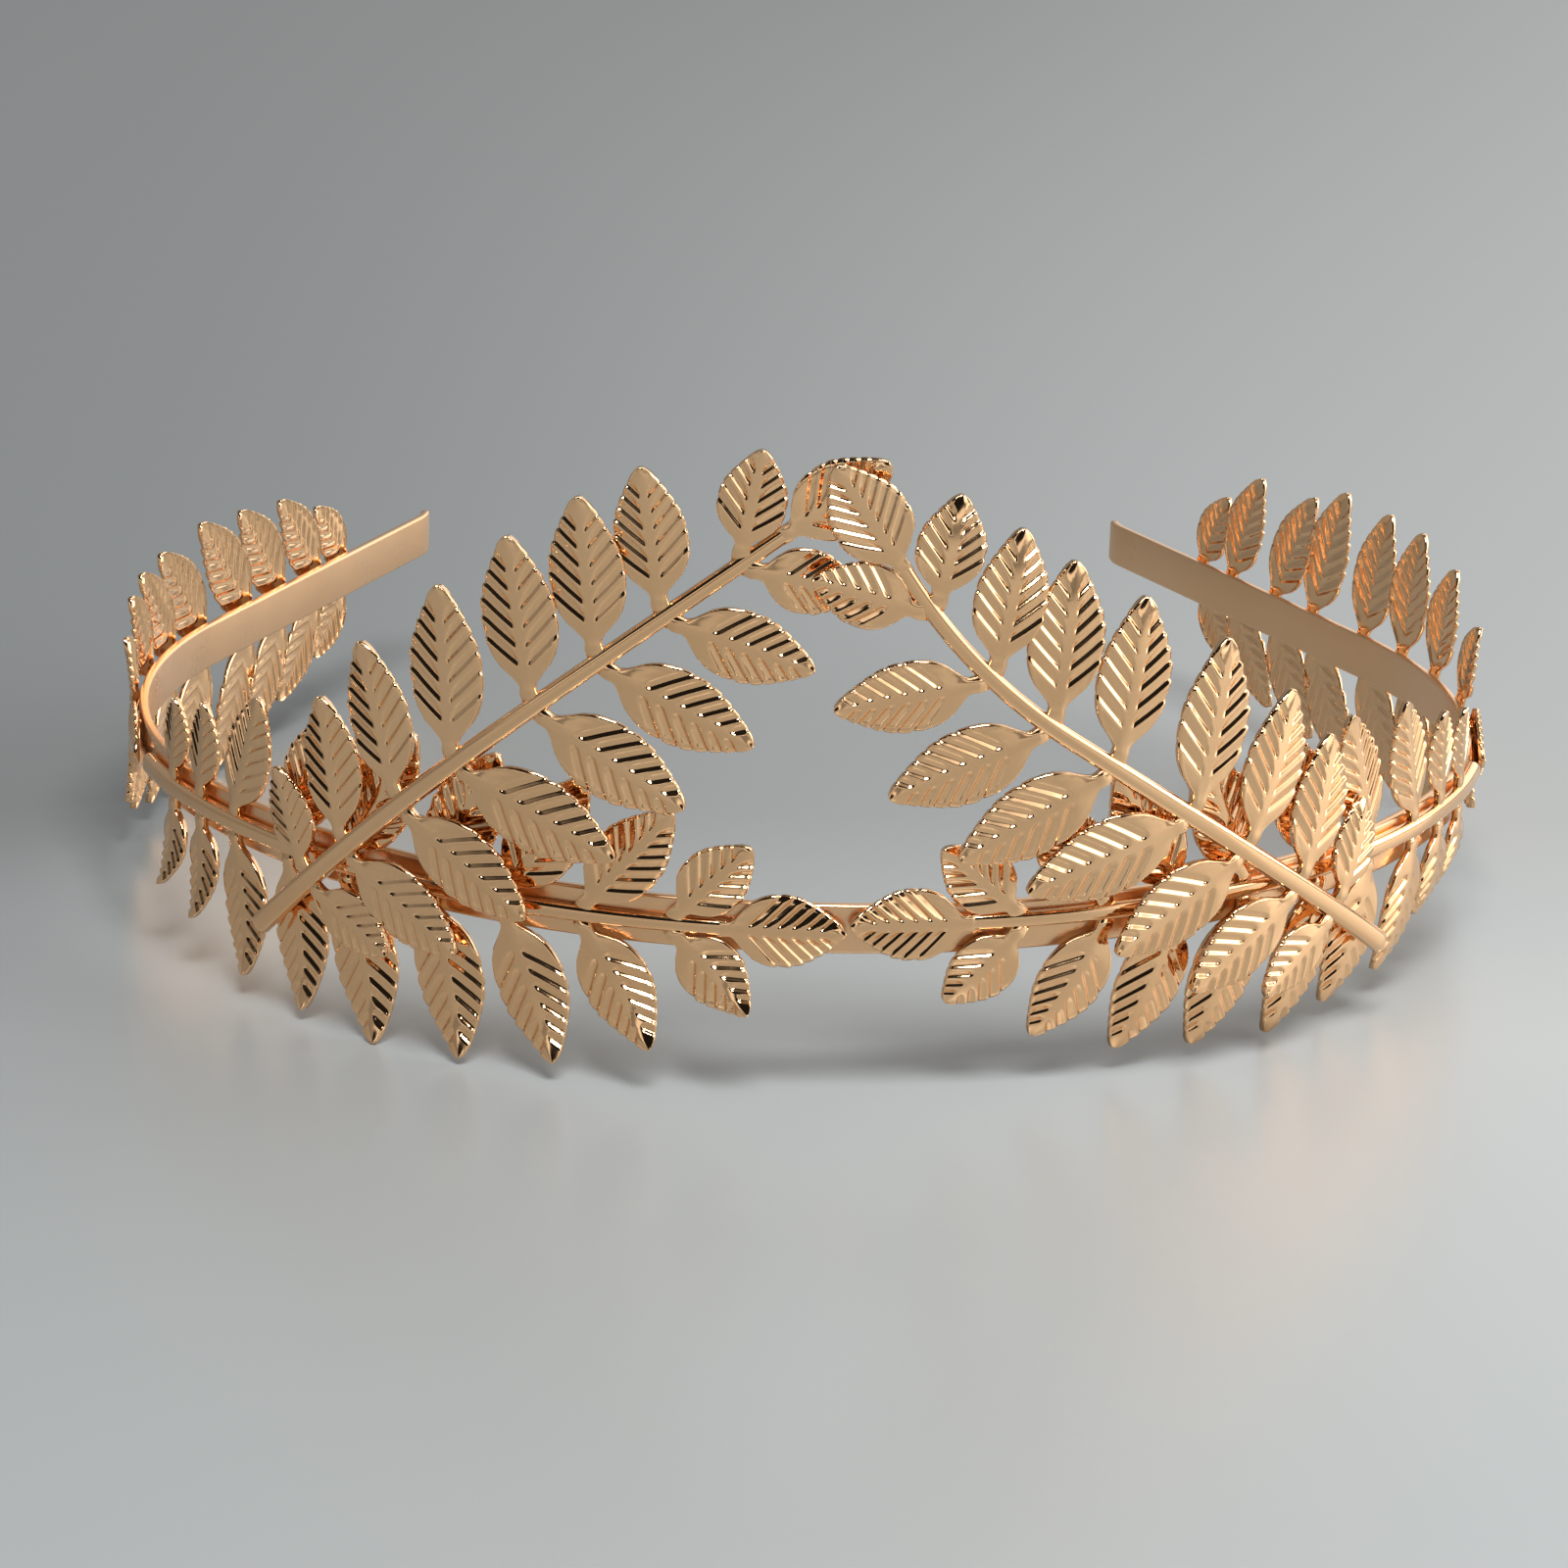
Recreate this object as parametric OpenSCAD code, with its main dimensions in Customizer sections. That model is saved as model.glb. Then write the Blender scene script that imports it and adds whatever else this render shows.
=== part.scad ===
// Laurel wreath crown: an open band standing on edge, with six stamped leaf sprays on its outer face.
// Millimetres. +Z is up, the front of the crown faces -Y and the open back faces +Y.
// The origin lies on the table, under the middle of the bounding box.

/* [Band] */
// Height of the flat strip
band_h = 5; // [4:0.5:7]
// Thickness of the flat strip
band_t = 1; // [0.8:0.1:1.4]
// Radius of the front arc, at mid thickness
front_radius = 73; // [70:0.5:76]
// Angle that each half of the front arc turns through
front_turn = 63; // [60:0.5:66]
// Radius of each side arc
side_radius = 58; // [55:0.5:62]
// Angle that each side arc turns through
side_turn = 53; // [50:0.5:55]
// Length of each straight tail behind the side arc
tail_run = 51; // [48:0.5:54]
// Radius of the outward curl at each end
curl_radius = 6; // [5:0.5:8]
// Angle of the outward curl
curl_turn = 38; // [20:1:45]
// Height of the band's middle above the table
band_z = 16.83; // [16.8:0.01:18]
// Place of the band's front, at mid thickness, along Y
front_y = -68.8; // [-70:0.1:-67]

/* [Sprays] */
// Gap between the band's outer face and the back of a low or rear spray
spray_gap = 0.25; // [0.2:0.05:0.3]
// Height of a high spray's back above the band's outer face, clear of the low spray that it crosses
high_lift = 2.2; // [2.2:0.1:2.6]
// Width of a stem at its cut end
stem_w = 2.2; // [1.8:0.1:2.4]
// Height of a stem's round back at its cut end
stem_h = 1.2; // [1:0.1:1.3]
// Share of its width and height that a stem keeps at its tip
stem_taper = 0.72; // [0.6:0.01:0.9]
// Length of a leaf's stalk, from the middle of the stem
stalk = 2.4; // [2:0.1:3]
// Width of a leaf's stalk
stalk_w = 1.5; // [1.2:0.1:1.8]
// Thickness of a leaf at its edge
leaf_t = 0.5; // [0.4:0.05:0.7]
// Height of a leaf's midrib above its edge
rib_h = 0.45; // [0.3:0.05:0.5]
// How far a leaf's tip is bent out, where nothing else is said
leaf_curl = 0.4; // [0:0.1:0.8]

/* [Hidden] */
rose_gold = [0.86, 0.64, 0.50];
pale_rose_gold = [0.90, 0.70, 0.56];
deg = 180 / PI;
front_steps = 24;
side_steps = 18;
curl_steps = 5;
// Length that a stem runs on into the end leaf
stem_lap = 1;
// Longest straight link of a stem, and the thickness of the slices that it is drawn between
link_max = 8.5;
slice_t = 0.3;
// Place where a stalk starts, from the middle of the stem
stalk_root = 0.3;
// Step from a stem's back to a leaf's back
back_step = 0.1;

// Leaf pairs of the stamping, from the foot of its stem to its tip.
// Columns: place along the stem, leaf length, leaf width.
PAIRS = [
    [8.5, 10.2, 5.4],
    [14.7, 11.6, 5.8],
    [21.1, 15.4, 7.0],
    [29.9, 16.4, 7.3],
    [37.8, 17.8, 7.7],
    [48.2, 16.9, 7.5],
    [56.1, 16.3, 7.4],
    [63.9, 14.7, 7.0],
    [72.6, 11.6, 6.4],
];
// End leaf of the stamping. Columns: place along the stem, leaf length, leaf width.
END_LEAF = [79.0, 10.7, 7.3];
// Length snipped off the foot of a high or rear stem, with its first pair
foot_cut = 5.1;

// Angles between leaf and stem, set by hand in each spray, a row for each pair from the foot to the tip.
// Columns: angle of the leaf above the stem, angle of the leaf below it.
LEFT_LOW = [[80, 84], [80, 80], [70, 72], [66, 74], [60, 71], [63, 73], [58, 66], [51, 57], [46, 44]];
RIGHT_LOW = [[80, 88], [80, 86], [72, 78], [70, 75], [64, 74], [66, 74], [60, 69], [56, 61], [42, 50]];
LEFT_HIGH = [[65, 70], [56, 74], [62, 75], [53, 64], [58, 69], [57, 64], [60, 55], [42, 48]];
RIGHT_HIGH = [[76, 70], [69, 67], [74, 65], [66, 53], [64, 63], [59, 59], [55, 55], [48, 36]];
LEFT_REAR = [[53, 50], [52, 50], [53, 58], [51, 62], [50, 62], [51, 60], [54, 54], [54, 45]];
RIGHT_REAR = [[66, 51], [71, 53], [65, 57], [73, 61], [79, 61], [83, 59], [79, 53], [69, 46]];

// Outline of a leaf blade. Columns: share of its length, share of its half width, share of the midrib's height.
BLADE = [
    [0.10, 0.58, 1.0],
    [0.30, 0.96, 1.0],
    [0.58, 0.96, 0.9],
    [0.82, 0.56, 0.7],
    [1.00, 0.08, 0.3],
];

// Places along the band of the feet of the low and rear stems, and the gaps that the end leaves keep
tip_gap = 0.15;
rear_gap = 3.5;
stamping_run = END_LEAF[0] + END_LEAF[1];
low_root = stamping_run + tip_gap;
rear_root = low_root + rear_gap + stamping_run - foot_cut;

// Band's plan. u is the length along its middle line from the front centre: front arc, side arc, tail, curl.
front_run = front_radius * front_turn / deg;
side_run = side_radius * side_turn / deg;
curl_run = curl_radius * curl_turn / deg;
side_u = front_run;
tail_u = side_u + side_run;
curl_u = tail_u + tail_run;
tail_turn = front_turn + side_turn;
side_start = [0, front_y] + arc_step(front_radius, 0, front_turn);
tail_start = side_start + arc_step(side_radius, front_turn, tail_turn);
curl_start = tail_start + tail_run * [cos(tail_turn), sin(tail_turn)];

// Step along an arc from heading a to heading b, with a negative radius for a turn to the right
function arc_step(radius, a, b) = radius * [sin(b) - sin(a), cos(a) - cos(b)];

function turn_at(u) =
    u < side_u ? u / front_radius * deg :
    u < tail_u ? front_turn + (u - side_u) / side_radius * deg :
    tail_turn - max(0, u - curl_u) / curl_radius * deg;

function band_xy(u) =
    u < side_u ? [0, front_y] + arc_step(front_radius, 0, turn_at(u)) :
    u < tail_u ? side_start + arc_step(side_radius, front_turn, turn_at(u)) :
    u < curl_u ? tail_start + (u - tail_u) * [cos(tail_turn), sin(tail_turn)] :
    curl_start + arc_step(-curl_radius, tail_turn, turn_at(u));

function out_xy(u) = [sin(turn_at(u)), -cos(turn_at(u))];

// A point over the band: u along it, z above its middle, out from its outer face
function over_band(u, z, out) =
    let (p = band_xy(u) + (band_t / 2 + out) * out_xy(u))
    [p[0], p[1], band_z + z];

// The strip is cut from one outline: the outer face from end to end, then the inner face back again
module band() {
    stops = concat(
        [for (i = [0:front_steps - 1]) front_run * i / front_steps],
        [for (i = [0:side_steps]) side_u + side_run * i / side_steps],
        [for (i = [0:curl_steps]) curl_u + curl_run * i / curl_steps]
    );
    last = len(stops) - 1;
    function face(out) = concat(
        [for (i = [last:-1:1]) let (p = band_xy(stops[i]) + out * out_xy(stops[i])) [-p[0], p[1]]],
        [for (u = stops) band_xy(u) + out * out_xy(u)]
    );
    inner = face(-band_t / 2);
    color(pale_rose_gold)
        translate([0, 0, band_z - band_h / 2])
            linear_extrude(band_h)
                polygon(concat(face(band_t / 2), [for (i = [len(inner) - 1:-1:0]) inner[i]]));
}

// Middle line of a stem in the flat: straight to bend_from, then an arc that turns bend_rate degrees a millimetre
function bent_heading(s, heading, bend_from, bend_rate) =
    heading + bend_rate * max(0, s - bend_from);

function bent(s, heading, bend_from, bend_rate) =
    s <= bend_from || bend_rate == 0 ? s * [cos(heading), sin(heading)] :
    bend_from * [cos(heading), sin(heading)]
        + arc_step(deg / bend_rate, heading, bent_heading(s, heading, bend_from, bend_rate));

// A stamped spray on the right of the crown, bent round the band. The foot of its stem, with cut snipped off,
// lies at root_u, root_z and heads for the front. lift is the height of its back above the band's outer face,
// up to half way along and at the tip. curl is how far the tips of the leaves above and below it are bent out.
module spray(root_u, angles, cut = foot_cut, root_z = 0.4, heading = 0, bend_from = 0, bend_rate = 0,
             lift = [spray_gap, spray_gap], curl = [leaf_curl, leaf_curl]) {

    stem_run = END_LEAF[0] - cut;
    skip = len(PAIRS) - len(angles);
    pairs = [for (i = [skip:len(PAIRS) - 1]) [PAIRS[i][0] - cut, PAIRS[i][1], PAIRS[i][2]]];

    function flat(s) = bent(s, heading, bend_from, bend_rate);
    function along(s) = bent_heading(s, heading, bend_from, bend_rate);
    function lift_at(s) = lift[0] + (lift[1] - lift[0]) * max(0, min(1, 2 * s / stem_run - 1));
    function wrap(p, out) = over_band(root_u - p[0], root_z + p[1], out);
    function taper(s) = 1 + (stem_taper - 1) * s / stem_run;

    // Slice of the stem at s, square to its middle line
    module slice(s) {
        w = stem_w / 2 * taper(s);
        h = stem_h * taper(s);
        a = along(s);
        turn = turn_at(root_u - flat(s)[0]);
        o = out_xy(root_u - flat(s)[0]);
        c = wrap(flat(s), lift_at(s));
        multmatrix([
            [-cos(turn) * sin(a), o[0], -cos(turn) * cos(a), c[0]],
            [-sin(turn) * sin(a), o[1], -sin(turn) * cos(a), c[1]],
            [-cos(a), 0, sin(a), c[2]],
        ])
            translate([0, 0, -slice_t / 2])
                linear_extrude(slice_t)
                    polygon([[-w, 0], [w, 0], [0.6 * w, h], [-0.6 * w, h]]);
    }

    module stem() {
        stops = concat([0], [for (p = pairs) p[0]], [stem_run + stem_lap]);
        cuts = concat([0], [for (i = [1:len(stops) - 1])
            let (gap = stops[i] - stops[i - 1])
            each gap > link_max ? [stops[i] - gap / 2, stops[i]] : [stops[i]]]);
        for (i = [0:len(cuts) - 2])
            hull() {
                slice(cuts[i]);
                slice(cuts[i + 1]);
            }
    }

    // Leaf whose stalk starts in the stem at s and makes angle with it, with its tip bent out by bend
    module leaf(s, length, width, angle, bend) {
        a = along(s) + angle;
        reach = [cos(a), sin(a)] * sqrt(1 - pow(bend / length, 2));
        blade = length - stalk;
        rows = concat([[stalk_root, stalk_w / 2, 0], [stalk, stalk_w / 2, 0.6]],
                      [for (b = BLADE) [stalk + b[0] * blade, b[1] * width / 2, b[2]]]);
        function rise(t) = lift_at(s) + back_step + bend * pow(max(0, t - stalk) / blade, 3);
        points = [for (r = rows)
            for (c = [[-1, 0], [1, 0], [1, leaf_t], [0, leaf_t + rib_h * r[2]], [-1, leaf_t]])
                wrap(flat(s) + r[0] * reach + c[0] * r[1] * [-sin(a), cos(a)], rise(r[0]) + c[1])];
        loft(points, 5);
    }

    stem();
    for (i = [0:len(pairs) - 1]) {
        leaf(pairs[i][0], pairs[i][1], pairs[i][2], angles[i][0], curl[0]);
        leaf(pairs[i][0], pairs[i][1], pairs[i][2], -angles[i][1], curl[1]);
    }
    leaf(stem_run - stalk, END_LEAF[1] + stalk, END_LEAF[2], 0, leaf_curl);
}

// Solid through rings of n points each, given one after another, with flat ends
module loft(points, n) {
    last = len(points) / n - 1;
    sides = [for (i = [0:last - 1])
        for (j = [0:n - 1])
            let (p = n * i + j, q = n * i + (j + 1) % n)
            each [[p, q, p + n], [q, q + n, p + n]]];
    polyhedron(points, concat(sides, [[for (j = [n - 1:-1:0]) j], [for (j = [0:n - 1]) n * last + j]]), convexity = 4);
}

// The low sprays lie along the band and meet tip to tip at the front centre
module right_low_spray() {
    color(rose_gold) spray(low_root, RIGHT_LOW, cut = 0, root_z = 0.8, curl = [leaf_curl, -2]);
}

module left_low_spray() {
    color(rose_gold) mirror([1, 0, 0]) spray(low_root, LEFT_LOW, cut = 0, root_z = 0, curl = [leaf_curl, 2]);
}

// The high sprays start below the band, climb over the low ones and cross above the front centre
module right_high_spray() {
    color(rose_gold)
        spray(60, RIGHT_HIGH, root_z = -8.7, heading = 34.9, bend_from = 49, bend_rate = 1,
              lift = [high_lift, high_lift], curl = [-1, leaf_curl]);
}

module left_high_spray() {
    color(rose_gold) mirror([1, 0, 0])
        spray(61.9, LEFT_HIGH, root_z = -8.6, heading = 44.7, bend_from = 0, bend_rate = -0.1,
              lift = [high_lift, spray_gap]);
}

// The rear sprays end a little behind the feet of the low ones, the right one a little further back
module right_rear_spray() {
    color(rose_gold) spray(rear_root + 1.4, RIGHT_REAR, root_z = 0.3);
}

module left_rear_spray() {
    color(rose_gold) mirror([1, 0, 0]) spray(rear_root, LEFT_REAR, root_z = -0.4);
}

band();
left_low_spray();
right_low_spray();
left_high_spray();
right_high_spray();
left_rear_spray();
right_rear_spray();
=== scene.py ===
import math

import bpy
import numpy as np
from mathutils import Matrix, Vector


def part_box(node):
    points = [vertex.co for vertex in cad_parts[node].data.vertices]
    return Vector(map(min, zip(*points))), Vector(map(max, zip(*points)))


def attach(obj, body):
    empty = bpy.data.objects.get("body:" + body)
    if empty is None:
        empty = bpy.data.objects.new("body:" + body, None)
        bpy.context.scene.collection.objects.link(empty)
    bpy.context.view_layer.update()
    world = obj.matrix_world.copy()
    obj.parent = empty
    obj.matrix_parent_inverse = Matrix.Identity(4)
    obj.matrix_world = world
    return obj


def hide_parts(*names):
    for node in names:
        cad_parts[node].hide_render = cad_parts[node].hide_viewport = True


# Laurel wreath crown in rose gold: an open band on edge with six stamped leaf sprays on its outer face.
# Lengths are in millimetres until a mesh is made. +Z is up and the front of the crown faces -Y.

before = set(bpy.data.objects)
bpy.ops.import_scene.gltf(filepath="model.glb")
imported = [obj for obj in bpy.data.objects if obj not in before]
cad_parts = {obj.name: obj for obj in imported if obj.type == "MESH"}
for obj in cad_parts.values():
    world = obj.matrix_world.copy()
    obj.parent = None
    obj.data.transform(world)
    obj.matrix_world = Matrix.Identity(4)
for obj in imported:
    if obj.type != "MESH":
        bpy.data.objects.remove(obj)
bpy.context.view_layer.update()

MM = 0.001

# Band, whose height, place and front come from the band in model.glb
band_low, band_high = (np.array(corner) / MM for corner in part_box("band"))
BAND_H = band_high[2] - band_low[2]
BAND_Z = (band_low[2] + band_high[2]) / 2
BAND_T = 1.0
FRONT_Y = band_low[1] + BAND_T / 2
FRONT_RADIUS = 73.0
FRONT_TURN = math.radians(63)
SIDE_RADIUS = 58.0
SIDE_TURN = math.radians(53)
TAIL_RUN = 51.0
CURL_RADIUS = 6.0
CURL_TURN = math.radians(38)
SIDE_U = FRONT_RADIUS * FRONT_TURN
TAIL_U = SIDE_U + SIDE_RADIUS * SIDE_TURN
CURL_U = TAIL_U + TAIL_RUN
END_U = CURL_U + CURL_RADIUS * CURL_TURN
TAIL_TURN = FRONT_TURN + SIDE_TURN

# Strip: its rounded edges, its rows, and how much it thins and narrows at its ends over what length
STRIP_ROUND = 0.32
CORNER_ANGLES = np.array([0, 22, 45, 68, 90])
STRIP_STEPS = 200
END_STOPS = np.array([.1, .35])
END_THINS = (0.45, 0.4)
END_NARROWS = (0.22, 1.6)

# Sprays
SPRAY_GAP = 0.25
HIGH_LIFT = 2.2
STEM_W = 2.2
STEM_H = 1.2
STEM_TAPER = 0.72
STEM_LAP = 1.0
STALK = 2.4
STALK_W = 1.5
STALK_ROOT = 0.3
BLADE_T = 0.66
METAL_T = 0.4
BACK_STEP = 0.1
FOOT_CUT = 5.1
TIP_GAP = 0.15
REAR_GAP = 3.5
RIGHT_REAR_SHIFT = 1.4

# How far leaf tips bend out from the band, and how much leaves twist
LEAF_CURL = 0.4
LOW_CURL = 2.0
HIGH_CURL = -1.0
LEAF_TWIST = 0.05
TWIST_LIFT = 2
TWIST_IN = 0.5

# Section of a stem: a flattened half round on low walls. Angles in degrees, from one side over the top.
STEM_ANGLES = np.array([0, 14, 30, 48, 66, 80, 90, 100, 114, 132, 150, 166, 180])
STEM_SIDE_POWER = 0.62
STEM_TOP_POWER = 0.80
STEM_WALL = 0.14
STEM_BACK = np.array([-0.9, 0, 0.9])
STEM_START = np.array([0, 0.08, 0.25, 0.5])
STEM_STEPS = 76
STEM_FOOT = 0.80
STEM_FOOT_RUN = 0.5

# Leaf pairs of the stamping, from the foot of its stem to its tip.
# Columns: place along the stem, leaf length, leaf width.
PAIRS = [
    (8.5, 10.2, 5.4), (14.7, 11.6, 5.8), (21.1, 15.4, 7.0), (29.9, 16.4, 7.3), (37.8, 17.8, 7.7),
    (48.2, 16.9, 7.5), (56.1, 16.3, 7.4), (63.9, 14.7, 7.0), (72.6, 11.6, 6.4),
]
END_LEAF = (79.0, 10.7, 7.3)
STAMPING_RUN = END_LEAF[0] + END_LEAF[1]
LOW_ROOT = STAMPING_RUN + TIP_GAP
REAR_ROOT = LOW_ROOT + REAR_GAP + STAMPING_RUN - FOOT_CUT

# Angles in degrees between leaf and stem, a pair for each pair of leaves: above the stem, below it
LEFT_LOW = [(80, 84), (80, 80), (70, 72), (66, 74), (60, 71), (63, 73), (58, 66), (51, 57), (46, 44)]
RIGHT_LOW = [(80, 88), (80, 86), (72, 78), (70, 75), (64, 74), (66, 74), (60, 69), (56, 61), (42, 50)]
LEFT_HIGH = [(65, 70), (56, 74), (62, 75), (53, 64), (58, 69), (57, 64), (60, 55), (42, 48)]
RIGHT_HIGH = [(76, 70), (69, 67), (74, 65), (66, 53), (64, 63), (59, 59), (55, 55), (48, 36)]
LEFT_REAR = [(53, 50), (52, 50), (53, 58), (51, 62), (50, 62), (51, 60), (54, 54), (54, 45)]
RIGHT_REAR = [(66, 51), (71, 53), (65, 57), (73, 61), (79, 61), (83, 59), (79, 53), (69, 46)]

# Outline of a leaf blade. Columns: share of its length, share of its half width.
BLADE_OUTLINE = np.array([
    (0.00, 0.22), (0.05, 0.38), (0.10, 0.58), (0.19, 0.82), (0.30, 0.96), (0.44, 1.00),
    (0.58, 0.95), (0.70, 0.79), (0.82, 0.56), (0.91, 0.36), (0.97, 0.20), (1.00, 0.07),
])

OUTLINE_STEPS = 401

# Veins of a leaf, as shares of its blade, and how they slant and bow
LONG_LEAF = 12.5
LONG_LEAF_VEINS = 6
SHORT_LEAF_VEINS = 5
VEINS_START = 0.09
VEINS_END = 0.84
VEIN_SLANT = (0.75, 1.15)
VEIN_BOW = 0.03
SLANT_IN = (-0.06, 0.11)

# Sunk fields between the veins, each with one steep wall and a slope out of it
FIELD_DEPTH = 0.25
FIELD_STOPS = np.array([0, .03, .07, .14, .22, .26, .30, .36, .50, .62, .66, .70, .85])
# Depth of a field across its vein. Columns: share of the pitch, share of FIELD_DEPTH.
FIELD_PROFILE = np.array([
    (0.00, 0.00), (0.03, 0.06), (0.07, 0.20), (0.14, 0.49), (0.22, 0.82), (0.26, 0.94), (0.30, 1.00),
    (0.62, 0.56), (0.66, 0.50), (0.70, 0.32), (1.00, 0.00),
])
INNER_END = 0.62
INNER_WALL = 0.22
INNER_ROUND = 0.55
INNER_ROUND_FROM = 0.30
INNER_ROUND_RUN = 0.40

# Rows along a leaf: of its stalk in millimetres, of the blade before its veins, and of the blade's tip
STALK_ROWS = np.array([STALK_ROOT, 0.8, 1.2, 1.6, 2.0, STALK])
BASE_STOPS = np.array([0.2, 0.4, 0.6, 0.8])
TIP_STOPS = np.array([.86, .88, .905, .93, .955, .975, .99, 1.0])

# Points across half a leaf: near its midrib in millimetres, then as shares of the rest of the way
INNER_STOPS = np.array([0, .30, .42, .53, .64, .78, 1.0, 1.3])
OUTER_STOPS = np.array([.25, .5, .72, .88, .955, 1.0])
FULL_REACH = 1.9
LEAST_REACH = 0.02
REACH_HALVINGS = 40

# Camber, rolled rim with a notch at each vein, and hollow back of a blade
CAMBER = 0.20
CAMBER_IN = (-0.1, 0.15)
RIM_DROP = 0.14
RIM_LIP = 0.05
RIM_AT = (0.84, 0.93, 0.945)
NOTCH = 0.035
NOTCH_AT = 0.15
NOTCH_RUN = 0.12
BACK_KEEPS = [0, 4, 7, 9, 11, 13]
BACK_EDGE = 0.06
BACK_INSET = 0.985

# Ridge and flare of a stalk, and how it thins towards the stem
STALK_RISE = 0.42
RIDGE_FADE = (0.9, STALK + 1.6)
RIDGE_SIDES = (0.35, 0.95)
STALK_FLARE = 0.12
FLARE_FROM = 0.5
FLARE_AT = 1.2
ROOT_THIN = 0.55
ROOT_FULL = 1.5


def arc_step(radius, a, b):
    return radius * np.stack([np.sin(b) - np.sin(a), np.cos(a) - np.cos(b)], -1)


def turn_at(u):
    side = FRONT_TURN + (u - SIDE_U) / SIDE_RADIUS
    tail = TAIL_TURN - np.maximum(0, u - CURL_U) / CURL_RADIUS
    return np.where(u < SIDE_U, u / FRONT_RADIUS, np.where(u < TAIL_U, side, tail))


def out_xy(u):
    turn = turn_at(u)
    return np.stack([np.sin(turn), -np.cos(turn)], -1)


def band_xy(u):
    """Point of the band's middle line, seen from above, u along it from the front centre."""
    zero = np.zeros_like(u)
    turn = turn_at(u)
    heading = np.array([math.cos(TAIL_TURN), math.sin(TAIL_TURN)])
    front = np.array([0, FRONT_Y]) + arc_step(FRONT_RADIUS, zero, turn)
    side_start = np.array([0, FRONT_Y]) + arc_step(FRONT_RADIUS, 0.0, FRONT_TURN)
    side = side_start + arc_step(SIDE_RADIUS, zero + FRONT_TURN, turn)
    tail_start = side_start + arc_step(SIDE_RADIUS, FRONT_TURN, TAIL_TURN)
    tail = tail_start + (u - TAIL_U)[..., None] * heading
    curl = tail_start + TAIL_RUN * heading + arc_step(-CURL_RADIUS, zero + TAIL_TURN, turn)
    pick = [(u < SIDE_U)[..., None], (u < TAIL_U)[..., None], (u < CURL_U)[..., None]]
    return np.where(pick[0], front, np.where(pick[1], side, np.where(pick[2], tail, curl)))


def over_band(u, z, out):
    """Point u along the band, z above its middle and out from its outer face."""
    plan = band_xy(u) + (BAND_T / 2 + out)[..., None] * out_xy(u)
    return np.concatenate([plan, (BAND_Z + z)[..., None]], -1)


def smooth(x, low, high):
    t = np.clip((x - low) / (high - low), 0, 1)
    return t * t * (3 - 2 * t)


def half_width(share):
    """Half width of a leaf blade as a share of its widest, through the outline's points."""
    return np.interp(share, BLADE_FINE, WIDTH_FINE)


def fine_outline():
    """Smooth curve through the points of the blade's outline."""
    x, y = BLADE_OUTLINE.T
    slope = np.gradient(y, x)
    fine = np.linspace(0, 1, OUTLINE_STEPS)
    i = np.clip(np.searchsorted(x, fine, side="right") - 1, 0, len(x) - 2)
    step = x[i + 1] - x[i]
    t = (fine - x[i]) / step
    value = ((2 * t**3 - 3 * t**2 + 1) * y[i] + (t**3 - 2 * t**2 + t) * step * slope[i]
             + (3 * t**2 - 2 * t**3) * y[i + 1] + (t**3 - t**2) * step * slope[i + 1])
    return fine, value


BLADE_FINE, WIDTH_FINE = fine_outline()


class Rings:
    """Faces and points of lofts, gathered into one mesh."""

    def __init__(self):
        self.points = []
        self.faces = []
        self.count = 0

    def loft(self, rings):
        """Adds a closed solid through rings, an array of rows of ring points."""
        rows, n = rings.shape[:2]
        index = self.count + np.arange(rows * n).reshape(rows, n)
        a = index[:-1]
        b = np.roll(index, -1, axis=1)[:-1]
        quads = np.stack([a, b, np.roll(index, -1, axis=1)[1:], index[1:]], -1).reshape(-1, 4)
        self.faces += quads.tolist()
        self.faces.append(index[0, ::-1].tolist())
        self.faces.append(index[-1].tolist())
        self.points.append(rings.reshape(-1, 3))
        self.count += rows * n

    def mesh(self, name, mirrored=False):
        points = np.concatenate(self.points)
        faces = self.faces
        if mirrored:
            points = points * [-1, 1, 1]
            faces = [f[::-1] for f in faces]
        made = bpy.data.meshes.new(name)
        made.from_pydata((points * MM).tolist(), [], faces)
        made.polygons.foreach_set("use_smooth", np.ones(len(faces), bool))
        made.update()
        return made


def link_object(name, data):
    made = bpy.data.objects.new(name, data)
    bpy.context.scene.collection.objects.link(made)
    return made


def leaf_rows(length, steps_face_tip):
    """Rows of a leaf: place along the midrib, place within its field (0 to 1) and if it has one."""
    blade = length - STALK
    veins = LONG_LEAF_VEINS if length > LONG_LEAF else SHORT_LEAF_VEINS
    pitch = blade * (VEINS_END - VEINS_START) / veins
    stops = 1 - FIELD_STOPS[::-1] if steps_face_tip else FIELD_STOPS
    phase = np.concatenate([k + stops for k in range(veins)])
    own = phase % 1
    if steps_face_tip:
        own = np.where(own == 0, 0, 1 - own)
    base = STALK + VEINS_START * blade * BASE_STOPS
    fields = STALK + VEINS_START * blade + pitch * phase
    tip = STALK + blade * TIP_STOPS
    before = np.zeros(len(STALK_ROWS) + len(base))
    after = np.zeros(len(tip))
    start = np.concatenate([STALK_ROWS, base, fields, tip])
    share = np.concatenate([before, own, after])
    sunk = np.concatenate([before, np.ones(len(own)), after])
    return start, share, sunk


def leaf_half(t, length, width):
    """Half width of a leaf at t along its midrib: its stalk, then its blade."""
    blade_half = half_width(np.clip((t - STALK) / (length - STALK), 0, 1)) * width / 2
    flare = STALK_FLARE * smooth(-t, -STALK, -FLARE_AT) * smooth(t, FLARE_FROM, FLARE_AT)
    return np.where(t < STALK, STALK_W / 2 + flare, np.maximum(blade_half, 0.0)) * (t <= length)


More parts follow.
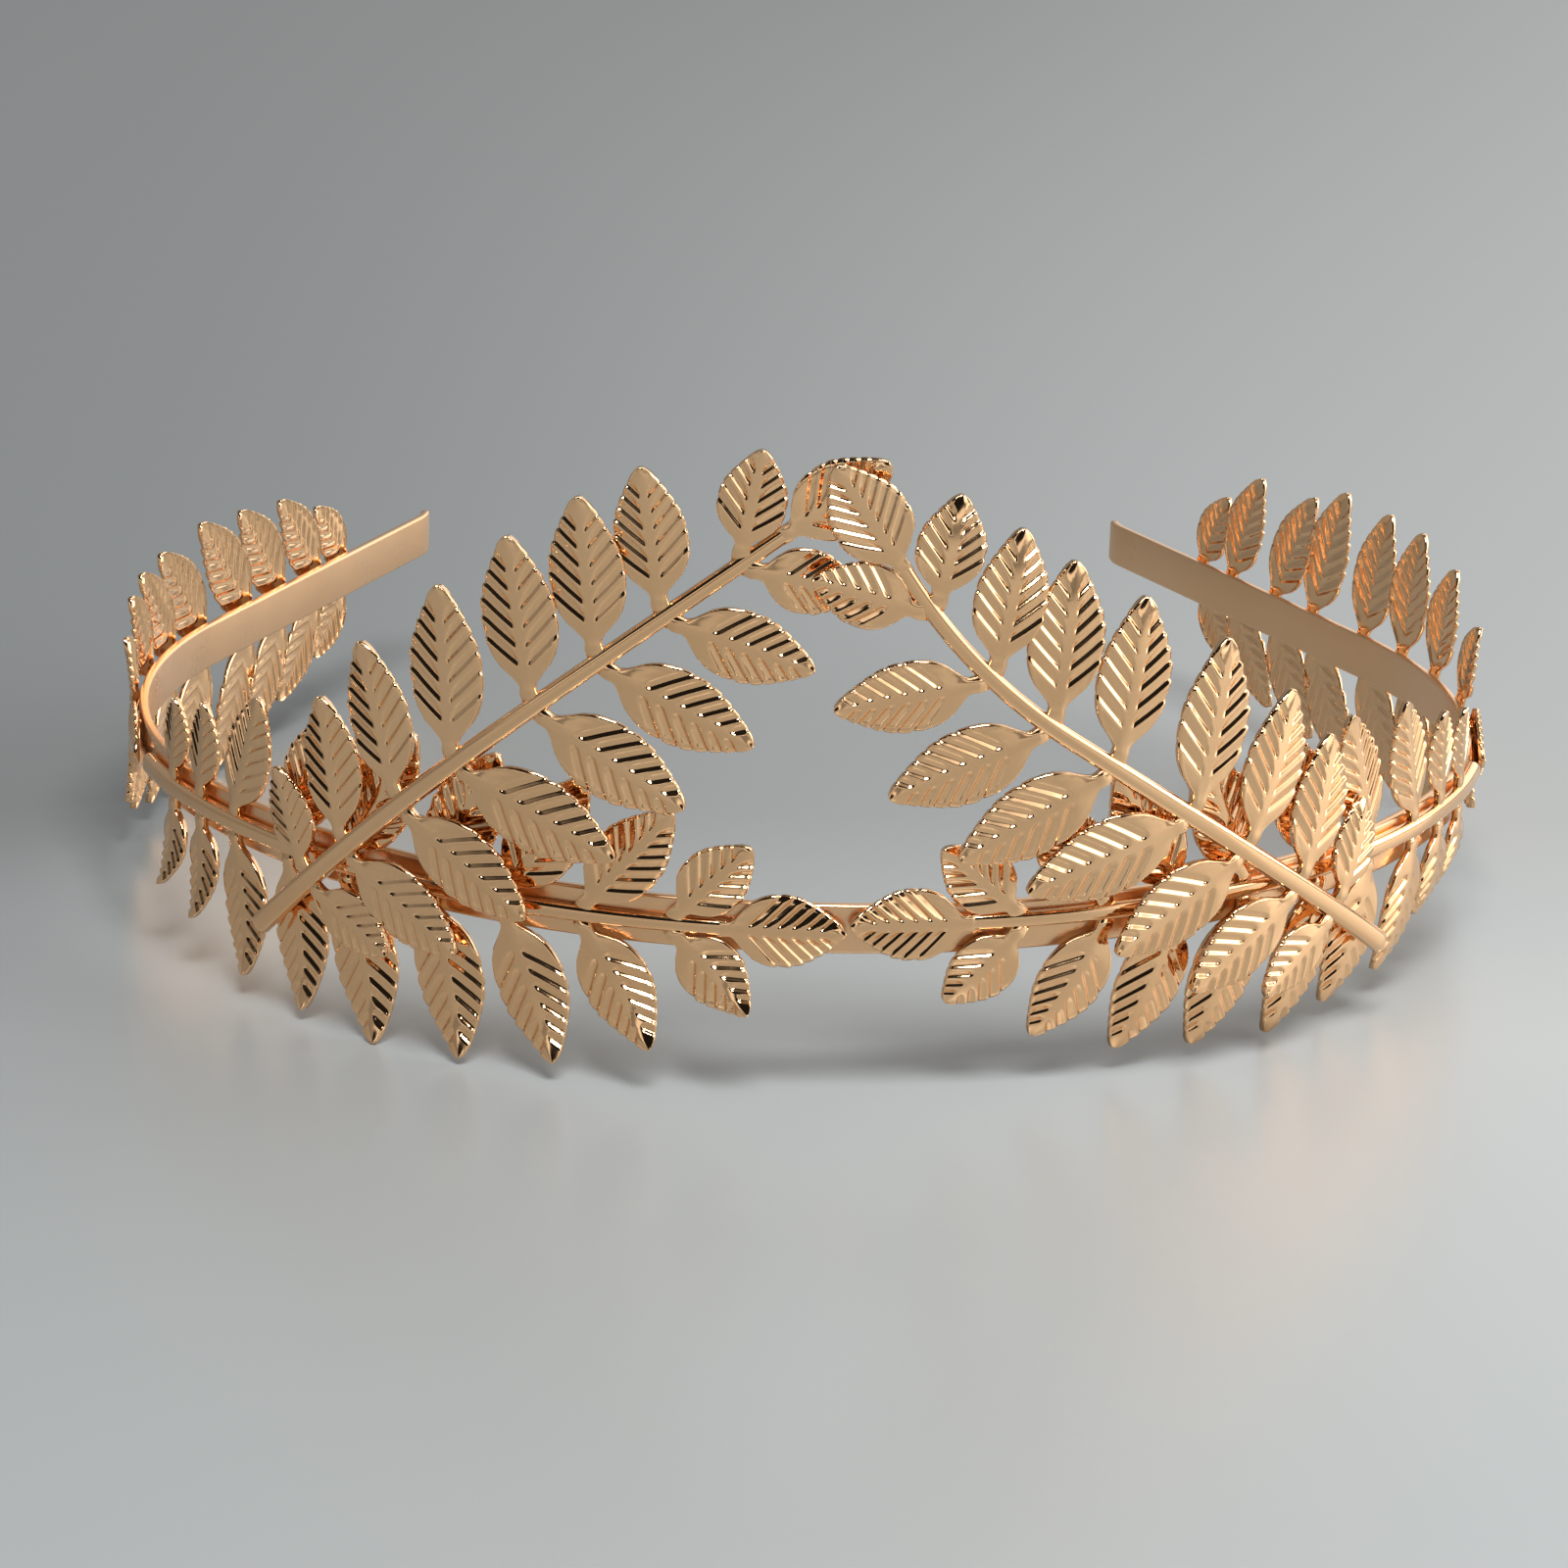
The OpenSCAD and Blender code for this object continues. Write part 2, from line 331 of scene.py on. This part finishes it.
def leaf_reach(start, slant, length, width):
    """Distance from the midrib at which each slanted row meets the outline, found by halving."""
    low = np.zeros_like(start)
    high = np.full_like(start, width)
    for _ in range(REACH_HALVINGS):
        mid = (low + high) / 2
        inside = leaf_half(start + slant * mid + VEIN_BOW * mid**2, length, width) > mid
        low = np.where(inside, mid, low)
        high = np.where(inside, high, mid)
    return low


def field_depth(share, sunk, across, scale):
    """Depth of the sunk fields, which end in a rounded wall short of the midrib."""
    rounding = INNER_ROUND * np.clip((share - INNER_ROUND_FROM) / INNER_ROUND_RUN, 0, 1) ** 2
    wall_top = ((INNER_END + rounding) * scale)[:, None]
    gate = smooth(across, wall_top - INNER_WALL * scale[:, None], wall_top)
    depth = np.interp(share, *FIELD_PROFILE.T) * sunk * FIELD_DEPTH
    return depth[:, None] * gate


def rim_height(edge):
    """Height that the lip adds near the edge, less what the rim rolls down at it."""
    lip_from, lip_full, roll_from = RIM_AT
    return RIM_LIP * smooth(edge, lip_from, lip_full) - (RIM_DROP + RIM_LIP) * smooth(edge, roll_from, 1.0)


def stalk_ridge(start, across, stem_top):
    """Height that the stalk's ridge adds, fading from the stem's top into the blade."""
    ridge = STALK_RISE * (1 - smooth(start, *RIDGE_FADE))[:, None]
    return ridge * (1 - smooth(across, *RIDGE_SIDES)) * (stem_top - BLADE_T)


def both_halves(along, across, height):
    """Points of each row, from one edge of a leaf over its midrib to the other edge."""
    left = np.stack([along, across, height], -1)[:, ::-1]
    right = np.stack([along, -across, height], -1)[:, 1:]
    return np.concatenate([left, right], 1)


def leaf_back(along, across, height):
    """Hollow back of a leaf, which follows its face at the sheet's thickness."""
    back = height[:, BACK_KEEPS] - METAL_T
    back[:, -1] = BACK_EDGE
    back_across = across[:, BACK_KEEPS]
    back_across[:, -1] *= BACK_INSET
    return both_halves(along[:, BACK_KEEPS], back_across, back)[:, ::-1]


def leaf_rings(length, width, steps_face_tip, stem_top):
    """Rings of a leaf in its own measures: along the midrib, across it, and out from its back."""
    start, share, sunk = leaf_rows(length, steps_face_tip)
    tau = np.clip((start - STALK) / (length - STALK), 0, 1)
    slant = (VEIN_SLANT[0] + (VEIN_SLANT[1] - VEIN_SLANT[0]) * tau) * smooth(tau, *SLANT_IN)
    notch = NOTCH * sunk * np.exp(-((share - NOTCH_AT) / NOTCH_RUN) ** 2)
    reach = np.maximum(leaf_reach(start, slant, length, width) * (1 - notch), LEAST_REACH)

    scale = np.minimum(1, reach / FULL_REACH)
    near = INNER_STOPS * scale[:, None]
    across = np.concatenate([near, near[:, -1:] + (reach[:, None] - near[:, -1:]) * OUTER_STOPS], 1)
    along = start[:, None] + slant[:, None] * across + VEIN_BOW * across**2
    edge = across / reach[:, None]

    height = BLADE_T + CAMBER * (1 - edge**2) * smooth(tau, *CAMBER_IN)[:, None]
    height = height - field_depth(share, sunk, across, scale) + rim_height(edge)
    height = height + stalk_ridge(start, across, stem_top)
    height = height * (ROOT_THIN + (1 - ROOT_THIN) * smooth(start, STALK_ROOT, ROOT_FULL))[:, None]
    return np.concatenate([both_halves(along, across, height), leaf_back(along, across, height)], 1)


def stem_section():
    """Ring of a stem as shares of its half width and of its height."""
    angle = np.radians(STEM_ANGLES)
    side = np.sign(np.cos(angle)) * np.abs(np.cos(angle)) ** STEM_SIDE_POWER
    top = np.abs(np.sin(angle)) ** STEM_TOP_POWER
    ring_w = np.concatenate([side, STEM_BACK])
    ring_h = np.concatenate([top * (1 - STEM_WALL) + STEM_WALL, np.zeros(len(STEM_BACK))])
    return ring_w, ring_h


class Spray:
    """One stamped spray, bent round the band: its stem and its leaves in one mesh. Angles in degrees."""

    def __init__(self, angles, root_u, root_z, seed, cut=FOOT_CUT, heading=0.0, bend_from=0.0, bend_rate=0.0,
                 lift=(SPRAY_GAP, SPRAY_GAP), curl=(LEAF_CURL, LEAF_CURL), mirrored=False):
        self.angles = angles
        self.root_u = root_u
        self.root_z = root_z
        self.cut = cut
        self.run = END_LEAF[0] - cut
        self.heading = math.radians(heading)
        self.bend_from = bend_from
        self.bend_rate = math.radians(bend_rate)
        self.lift = lift
        self.curl = curl
        self.mirrored = mirrored
        self.draw = np.random.default_rng(seed)
        self.rings = Rings()

    def heading_at(self, s):
        return self.heading + self.bend_rate * np.maximum(0, s - self.bend_from)

    def flat(self, s):
        """Point of the stem's middle line before the spray is bent round the band."""
        straight = np.array([math.cos(self.heading), math.sin(self.heading)])
        if self.bend_rate == 0:
            return s[..., None] * straight
        turned = self.bend_from * straight + arc_step(1 / self.bend_rate, self.heading, self.heading_at(s))
        return np.where((s <= self.bend_from)[..., None], s[..., None] * straight, turned)

    def lift_at(self, s):
        """Gap to the band, which changes over the upper half of the stem."""
        return self.lift[0] + (self.lift[1] - self.lift[0]) * np.clip(2 * s / self.run - 1, 0, 1)

    def taper(self, s):
        return 1 + (STEM_TAPER - 1) * s / self.run

    def wrap(self, p, out):
        return over_band(self.root_u - p[..., 0], self.root_z + p[..., 1], out)

    def add_stem(self):
        s = np.concatenate([STEM_START, np.linspace(1, self.run + STEM_LAP, STEM_STEPS)])
        ring_w, ring_h = stem_section()
        foot = STEM_FOOT + (1 - STEM_FOOT) * np.sqrt(np.clip(s / STEM_FOOT_RUN, 0, 1))
        w = (STEM_W / 2 * self.taper(s) * foot)[:, None] * ring_w
        h = (STEM_H * self.taper(s) * foot)[:, None] * ring_h
        a = self.heading_at(s)
        normal = np.stack([-np.sin(a), np.cos(a)], -1)
        p = self.flat(s)[:, None, :] + w[..., None] * normal[:, None, :]
        self.rings.loft(self.wrap(p, self.lift_at(s)[:, None] + h))

    def add_leaf(self, s, length, width, angle, bend, upper):
        """Leaf at s along the stem, whose tip bends out from the band by the length bend."""
        a = float(self.heading_at(np.array(s))) + math.radians(angle)
        local = leaf_rings(length, width, not upper, STEM_H * float(self.taper(s)))
        t, w, h = local[..., 0], local[..., 1], local[..., 2]
        t_share = np.maximum(0, t - STALK) / (length - STALK)
        reach = np.array([math.cos(a), math.sin(a)]) * math.sqrt(1 - (bend / length) ** 2)
        across = np.array([-math.sin(a), math.cos(a)])
        p = self.flat(np.array(s)) + t[..., None] * reach + w[..., None] * across
        twist = self.draw.uniform(-LEAF_TWIST, LEAF_TWIST)
        out = float(self.lift_at(s)) + BACK_STEP + bend * t_share**3 + h
        out = out + abs(twist) * TWIST_LIFT * t_share + twist * w * smooth(t_share, 0, TWIST_IN)
        self.rings.loft(self.wrap(p, out))

    def build(self, name):
        self.add_stem()
        pairs = PAIRS[len(PAIRS) - len(self.angles):]
        for (place, length, width), (above, below) in zip(pairs, self.angles):
            self.add_leaf(place - self.cut, length, width, above, self.curl[0], True)
            self.add_leaf(place - self.cut, length, width, -below, self.curl[1], False)
        self.add_leaf(self.run - STALK, END_LEAF[1] + STALK, END_LEAF[2], 0, LEAF_CURL, True)
        return link_object(name + "_stamping", self.rings.mesh(name, self.mirrored))


def build_band():
    """The strip, with rounded long edges and rounded ends."""
    rings = Rings()
    half_t = BAND_T / 2
    half_h = BAND_H / 2
    corner = np.radians(CORNER_ANGLES)
    profile = []
    for cx, cz, turn in ((1, 1, 0), (-1, 1, 90), (-1, -1, 180), (1, -1, 270)):
        for a in corner + math.radians(turn):
            profile.append((cx * (half_t - STRIP_ROUND) + STRIP_ROUND * math.cos(a),
                            cz * (half_h - STRIP_ROUND) + STRIP_ROUND * math.sin(a)))
    profile = np.array(profile)
    half = np.linspace(0, END_U, STRIP_STEPS)
    u = np.sort(np.concatenate([-half[1:], half, END_U - END_STOPS, END_STOPS - END_U]))
    from_end = END_U - np.abs(u)

    def shrink(amount, run):
        """Share of the profile left near an end, along a quarter ellipse."""
        rest = 1 - np.clip(from_end / run, 0, 1)
        return (1 - amount * (1 - np.sqrt(np.clip(1 - rest**2, 0, 1))))[:, None]

    out = profile[:, 0] * shrink(*END_THINS) - half_t
    z = profile[:, 1] * shrink(*END_NARROWS)
    points = over_band(np.abs(u)[:, None] + 0 * out, z, out)
    points[..., 0] *= np.where(u < 0, -1, 1)[:, None]
    rings.loft(points)
    return link_object("band_strip", rings.mesh("band_strip"))


def grey(value):
    return (value, value, value)


def new_material(name):
    material = bpy.data.materials.new(name)
    material.use_nodes = True
    nodes = material.node_tree.nodes
    links = material.node_tree.links
    shader = nodes["Principled BSDF"]
    place = nodes.new("ShaderNodeTexCoord").outputs["Object"]
    return material, nodes, links, shader, place


def add_noise(nodes, links, place, scale, detail=3.0):
    noise = nodes.new("ShaderNodeTexNoise")
    noise.inputs["Scale"].default_value = scale
    noise.inputs["Detail"].default_value = detail
    links.new(place, noise.inputs["Vector"])
    return noise.outputs["Fac"]


def add_ramp(nodes, links, value, stops):
    ramp = nodes.new("ShaderNodeValToRGB")
    while len(ramp.color_ramp.elements) < len(stops):
        ramp.color_ramp.elements.new(0.5)
    for element, (at, colour) in zip(ramp.color_ramp.elements, stops):
        element.position = at
        element.color = (*colour, 1)
    links.new(value, ramp.inputs["Fac"])
    return ramp.outputs["Color"]


def blend(nodes, links, share, first, second):
    """Mix of two colours, by the mix node's sockets for colours."""
    mix = nodes.new("ShaderNodeMix")
    mix.data_type = "RGBA"
    links.new(share, mix.inputs[0])
    links.new(first, mix.inputs[6])
    links.new(second, mix.inputs[7])
    return mix.outputs[2]


def add_range(nodes, links, value, limits, kind):
    """0 to 1 as a value runs through the limits."""
    share = nodes.new("ShaderNodeMapRange")
    share.interpolation_type = kind
    share.inputs["From Min"].default_value, share.inputs["From Max"].default_value = limits
    links.new(value, share.inputs["Value"])
    return share.outputs["Result"]


def dot_share(nodes, links, way, axis, limits):
    """0 to 1 as a direction turns towards the axis, over dot products between the limits."""
    dot = nodes.new("ShaderNodeVectorMath")
    dot.operation = "DOT_PRODUCT"
    dot.inputs[1].default_value = Vector(axis)
    links.new(way, dot.inputs[0])
    return add_range(nodes, links, dot.outputs["Value"], limits, "SMOOTHSTEP")


# Rose gold plate: scales of its noises in waves to the metre, and the depth of its peel in metres
TONE_SCALE = 55
TONE_SPAN = (0.35, 0.65)
POLISH_SCALE = 160
POLISH_SPAN = (0.3, 0.75)
PEEL_SCALE = 900
PEEL_DETAIL = 2.0
PEEL_DEPTH = 0.00004


def gold(name, low, high, roughness, bump):
    """Polished rose gold plate: two close tones, uneven polish and a faint orange peel."""
    material, nodes, links, shader, place = new_material(name)
    shader.inputs["Metallic"].default_value = 1.0
    tone = add_noise(nodes, links, place, TONE_SCALE)
    colour = add_ramp(nodes, links, tone, list(zip(TONE_SPAN, (low, high))))
    links.new(colour, shader.inputs["Base Color"])
    polish = add_noise(nodes, links, place, POLISH_SCALE)
    dull, bright = roughness
    rough = add_ramp(nodes, links, polish, list(zip(POLISH_SPAN, (grey(bright), grey(dull)))))
    links.new(rough, shader.inputs["Roughness"])
    peel = nodes.new("ShaderNodeBump")
    peel.inputs["Strength"].default_value = bump
    peel.inputs["Distance"].default_value = PEEL_DEPTH
    links.new(add_noise(nodes, links, place, PEEL_SCALE, PEEL_DETAIL), peel.inputs["Height"])
    links.new(peel.outputs["Normal"], shader.inputs["Normal"])
    return material


def finish_piece(piece, material, node):
    piece.data.materials.append(material)
    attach(piece, "root")
    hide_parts(node)


leaf_gold = gold("leaf_rose_gold", low=(0.92, 0.56, 0.295), high=(0.95, 0.595, 0.325),
                 roughness=(0.12, 0.06), bump=0.20)
strip_gold = gold("strip_rose_gold", low=(0.90, 0.55, 0.30), high=(0.93, 0.585, 0.335),
                  roughness=(0.34, 0.26), bump=0.35)

finish_piece(build_band(), strip_gold, "band")

SPRAYS = {
    "left_low_spray": Spray(LEFT_LOW, root_u=LOW_ROOT, root_z=0.0, cut=0, curl=(LEAF_CURL, LOW_CURL),
                            mirrored=True, seed=1),
    "right_low_spray": Spray(RIGHT_LOW, root_u=LOW_ROOT, root_z=0.8, cut=0, curl=(LEAF_CURL, -LOW_CURL),
                             seed=2),
    "left_high_spray": Spray(LEFT_HIGH, root_u=61.9, root_z=-8.6, heading=44.7, bend_rate=-0.1,
                             lift=(HIGH_LIFT, SPRAY_GAP), mirrored=True, seed=3),
    "right_high_spray": Spray(RIGHT_HIGH, root_u=60.0, root_z=-8.7, heading=34.9, bend_from=49.0,
                              bend_rate=1.0, lift=(HIGH_LIFT, HIGH_LIFT), curl=(HIGH_CURL, LEAF_CURL),
                              seed=4),
    "left_rear_spray": Spray(LEFT_REAR, root_u=REAR_ROOT, root_z=-0.4, mirrored=True, seed=5),
    "right_rear_spray": Spray(RIGHT_REAR, root_u=REAR_ROOT + RIGHT_REAR_SHIFT, root_z=0.3, seed=6),
}
for node, spray in SPRAYS.items():
    finish_piece(spray.build(node), leaf_gold, node)


# Stage: a pale floor that fills the picture, with painted light and shade in its colour: darker at the back
# and at the left, and lighter near the crown's front at the right.
# From here on lengths are in metres.
FLOOR_RADIUS = 2.6
FLOOR_SIDES = 96
FLOOR_DEPTH = (-0.40, 0.60)
FLOOR_WIDTH = (-0.11, 0.09)
FLOOR_ROUGHNESS = 0.30
FLOOR_IOR = 1.45
FLOOR_TINT = (1.0, 1.055, 1.06)
# Painted light and shade of the floor: stops from front to back, and tones at its left and at its right
FLOOR_STOPS = (0.0, 0.24, 0.345, 0.415, 1.0)
FLOOR_LEFT_LIGHT_AND_SHADE = (0.386, 0.311, 0.291, 0.182, 0.261)
FLOOR_RIGHT_LIGHT_AND_SHADE = (0.411, 0.339, 0.375, 0.287, 0.216)


def tones(values):
    """Stops of a ramp of painted light and shade from the front to the back of the floor."""
    return [(stop, tuple(value * tint for tint in FLOOR_TINT)) for stop, value in zip(FLOOR_STOPS, values)]


def build_floor():
    bpy.ops.mesh.primitive_circle_add(vertices=FLOOR_SIDES, radius=FLOOR_RADIUS, fill_type="NGON",
                                      location=(0, 0, 0))
    floor = bpy.context.object
    floor.name = "floor"
    material, nodes, links, shader, place = new_material("pale_floor_painted_shade")
    split = nodes.new("ShaderNodeSeparateXYZ")
    links.new(place, split.inputs[0])
    depth = add_range(nodes, links, split.outputs["Y"], FLOOR_DEPTH, "LINEAR")
    # Painted shade and painted light: the floor's colour darkens to the back and to the left, lighter near
    # the crown's front at the right
    left = add_ramp(nodes, links, depth, tones(FLOOR_LEFT_LIGHT_AND_SHADE))
    right = add_ramp(nodes, links, depth, tones(FLOOR_RIGHT_LIGHT_AND_SHADE))
    width = add_range(nodes, links, split.outputs["X"], FLOOR_WIDTH, "SMOOTHSTEP")
    links.new(blend(nodes, links, width, left, right), shader.inputs["Base Color"])
    shader.inputs["Roughness"].default_value = FLOOR_ROUGHNESS
    shader.inputs["IOR"].default_value = FLOOR_IOR
    floor.data.materials.append(material)


build_floor()


LIT_POINT = (0, 0, 0.02)
TOP_POWER = 15
RIGHT_POWER = 4
RIGHT_COLOUR = (1.0, 0.98, 0.95)


def area_light(name, place, size, power, colour=(1, 1, 1)):
    """Rectangular lamp that faces the crown."""
    data = bpy.data.lights.new(name, "AREA")
    data.shape = "RECTANGLE"
    data.size, data.size_y = size
    data.energy = power
    data.color = colour
    lamp = link_object(name, data)
    lamp.location = place
    lamp.rotation_euler = (Vector(LIT_POINT) - Vector(place)).to_track_quat("-Z", "Y").to_euler()


def build_lights():
    area_light("top_softbox", place=(0.10, -0.50, 1.10), size=(0.6, 0.4), power=TOP_POWER)
    area_light("right_softbox", place=(1.00, 0.05, 0.42), size=(0.9, 0.7), power=RIGHT_POWER,
               colour=RIGHT_COLOUR)


build_lights()


# World: the ways to its right and its front, with the dot products over which each fades in,
# and tones from the horizon up
WORLD_STRENGTH = 1.9
RIGHT_WAY = (1, 0, 0)
RIGHT_FADE = (-0.10, 0.45)
FRONT_WAY = (-0.20, -0.98, 0.50)
FRONT_FADE = (0.55, 0.75)
FRONT_TONES = [(0.00, (0.12, 0.125, 0.125)), (0.07, (0.13, 0.135, 0.135)), (0.11, (0.55, 0.55, 0.545)),
               (0.17, (0.55, 0.55, 0.545)), (0.21, grey(0.006)), (1.00, grey(0.006))]
RIGHT_TONES = [(0.00, (0.18, 0.185, 0.185)), (0.05, (0.22, 0.225, 0.225)), (0.13, (0.85, 0.85, 0.84)),
               (0.60, (0.85, 0.85, 0.84)), (0.85, grey(0.20)), (1.00, grey(0.15))]
LEFT_TONES = [(0.00, grey(0.13)), (0.45, (0.17, 0.175, 0.175)), (0.75, grey(0.05))]


def build_world():
    """Grey studio: black in front above a low bright strip, bright at the right, grey elsewhere."""
    world = bpy.data.worlds.new("studio")
    bpy.context.scene.world = world
    world.use_nodes = True
    nodes, links = world.node_tree.nodes, world.node_tree.links
    way = nodes.new("ShaderNodeTexCoord").outputs["Generated"]
    split = nodes.new("ShaderNodeSeparateXYZ")
    links.new(way, split.inputs[0])
    front = add_ramp(nodes, links, split.outputs["Z"], FRONT_TONES)
    right = add_ramp(nodes, links, split.outputs["Z"], RIGHT_TONES)
    left = add_ramp(nodes, links, split.outputs["Z"], LEFT_TONES)
    to_right = dot_share(nodes, links, way, RIGHT_WAY, RIGHT_FADE)
    to_front = dot_share(nodes, links, way, FRONT_WAY, FRONT_FADE)
    sides = blend(nodes, links, to_right, left, right)
    links.new(blend(nodes, links, to_front, sides, front), nodes["Background"].inputs["Color"])
    nodes["Background"].inputs["Strength"].default_value = WORLD_STRENGTH


build_world()


# Camera at the photograph's angle. The focal length is in pixels of the 1600 x 1600 picture.
PICTURE = 1600
FOCAL_PIXELS = 4902
SENSOR = 36
PAN = math.radians(3.70)
TILT = math.radians(18.42)
ROLL = math.radians(1.85)
CAMERA_PLACE = (-0.0343, -0.4991, 0.1749)


def build_camera():
    data = bpy.data.cameras.new("camera")
    data.sensor_width = SENSOR
    data.lens = FOCAL_PIXELS / PICTURE * SENSOR
    camera = link_object("camera", data)
    ahead = Vector((math.sin(PAN), math.cos(PAN), 0))
    right = Vector((math.cos(PAN), -math.sin(PAN), 0))
    rise = Vector((0, 0, 1))
    forward = ahead * math.cos(TILT) - rise * math.sin(TILT)
    up = ahead * math.sin(TILT) + rise * math.cos(TILT)
    rolled_right = right * math.cos(ROLL) + up * math.sin(ROLL)
    rolled_up = up * math.cos(ROLL) - right * math.sin(ROLL)
    turn = Matrix((rolled_right, rolled_up, -forward)).transposed().to_4x4()
    camera.matrix_world = Matrix.Translation(CAMERA_PLACE) @ turn
    bpy.context.scene.camera = camera


build_camera()
bpy.context.scene.view_settings.view_transform = "Standard"
